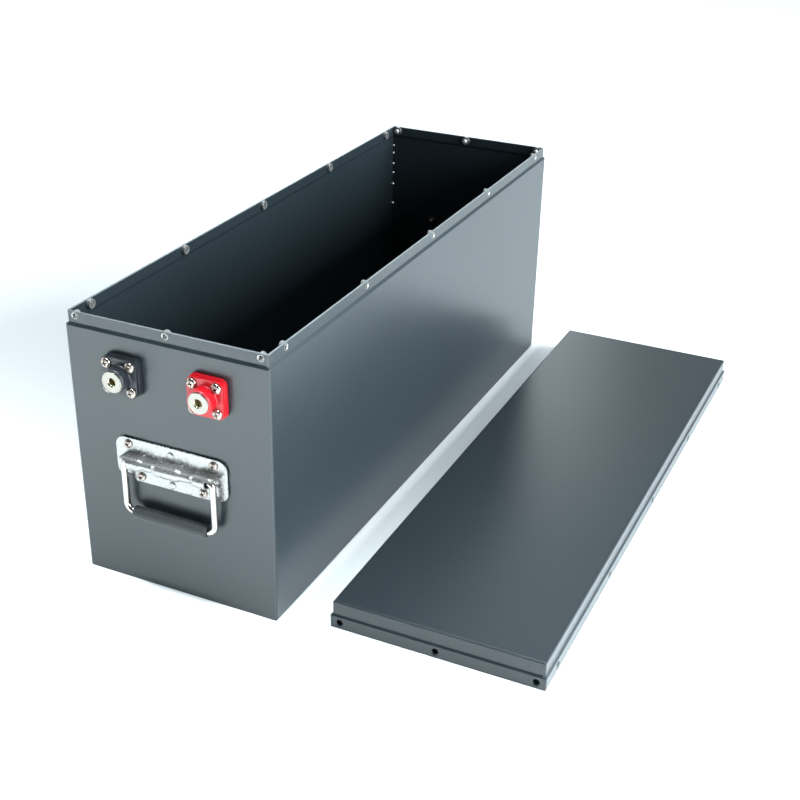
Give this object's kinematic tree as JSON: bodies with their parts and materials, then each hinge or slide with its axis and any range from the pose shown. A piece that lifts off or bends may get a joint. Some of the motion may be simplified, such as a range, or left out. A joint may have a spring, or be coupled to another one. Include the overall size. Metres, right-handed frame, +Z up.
{
  "type": "battery box",
  "caption": "Open-topped rectangular sheet-metal battery box with a lift-off lid, insulated end terminals and sprung drop handles at both ends.",
  "frame": {"origin": "centre of the underside of the box's floor", "axes": "+Z up, front end wall with the terminals faces -Y, box length along Y, lid lying on the floor at +X"},
  "size_m": [0.4445, 0.6845, 0.2581],
  "materials": {
    "box_paint": "fine satin powder coat, slate grey",
    "lid_paint": "fine satin powder coat, dark slate grey",
    "black_plastic": "moulded, semi-gloss",
    "red_plastic": "moulded, semi-gloss",
    "nickel": "turned, nickel plated",
    "zinc": "bright zinc plated",
    "screw_steel": "zinc plated fasteners",
    "spring_steel": "oiled spring wire",
    "rubber": "matt black"
  },
  "bodies": {
    "tub": {"side_wrap": "box_paint", "front_panel": "box_paint", "rear_panel": "box_paint", "rim_nuts": "zinc", "negative_housing": "black_plastic", "positive_housing": "red_plastic", "terminal_gaskets": "rubber", "negative_inner_plate": "black_plastic", "positive_inner_plate": "red_plastic", "terminal_posts": "nickel", "terminal_screws": "screw_steel", "terminal_washers": "screw_steel", "terminal_nuts": "screw_steel", "post_washers": "screw_steel", "post_nuts": "screw_steel", "front_handle_plate": "zinc", "rear_handle_plate": "zinc", "front_handle_backing": "zinc", "rear_handle_backing": "zinc", "handle_rivets": "zinc", "handle_screws": "screw_steel", "handle_washers": "screw_steel", "handle_nuts": "screw_steel", "front_bail_springs": "spring_steel", "rear_bail_springs": "spring_steel"},
    "front_bail": {"front_bail": "zinc", "front_grip": "rubber"},
    "rear_bail": {"rear_bail": "zinc", "rear_grip": "rubber"},
    "lid": {"lid_shell": "lid_paint"}
  },
  "joints": [
    {"name": "front_handle_swing", "type": "hinge", "parent": "tub", "child": "front_bail", "pos_m": [0, -0.333, 0.13], "axis": [-1, 0, 0], "range_deg": [0, 85], "stiffness_Nm_per_rad": 0.15, "springref_deg": -34.38},
    {"name": "rear_handle_swing", "type": "hinge", "parent": "tub", "child": "rear_bail", "pos_m": [0, 0.333, 0.13], "axis": [1, 0, 0], "range_deg": [0, 85], "stiffness_Nm_per_rad": 0.15, "springref_deg": -34.38},
    {"name": "lid_lift", "type": "slide", "parent": "tub", "child": "lid", "axis": [0, 0, 1], "range_m": [0, 0.3]}
  ]
}
